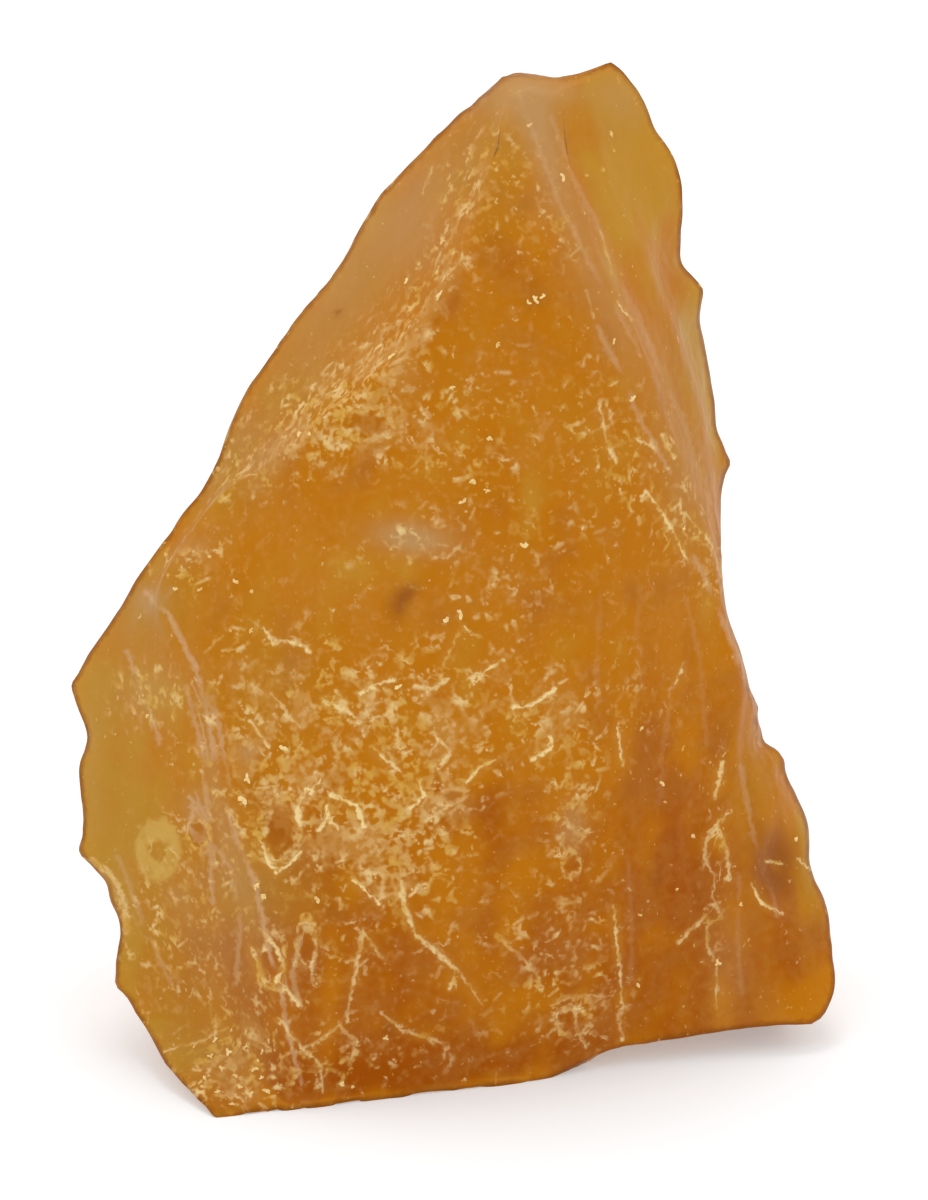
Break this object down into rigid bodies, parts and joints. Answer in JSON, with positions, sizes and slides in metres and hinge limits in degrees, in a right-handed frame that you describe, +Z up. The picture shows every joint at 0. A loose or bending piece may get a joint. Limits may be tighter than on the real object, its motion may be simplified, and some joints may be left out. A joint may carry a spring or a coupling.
{
  "type": "raw copal",
  "caption": "Rough translucent lump of raw copal resin, roughly a leaning pyramid with a broad convex front face, thin chipped side edges and a flat fractured foot that it stands on.",
  "frame": {"origin": "middle of the bounding box's lower face, which is the level of the flat foot", "axes": "+Z up from the foot to the crown; -Y the broad convex front face that the picture shows; +X to the viewer's right"},
  "size_m": [0.0468, 0.0316, 0.0604],
  "materials": {
    "resin": "waxy translucent fossil resin, satin where it is smooth and frosted where it is bruised"
  },
  "bodies": {
    "root": {"copal": "resin"}
  },
  "joints": []
}
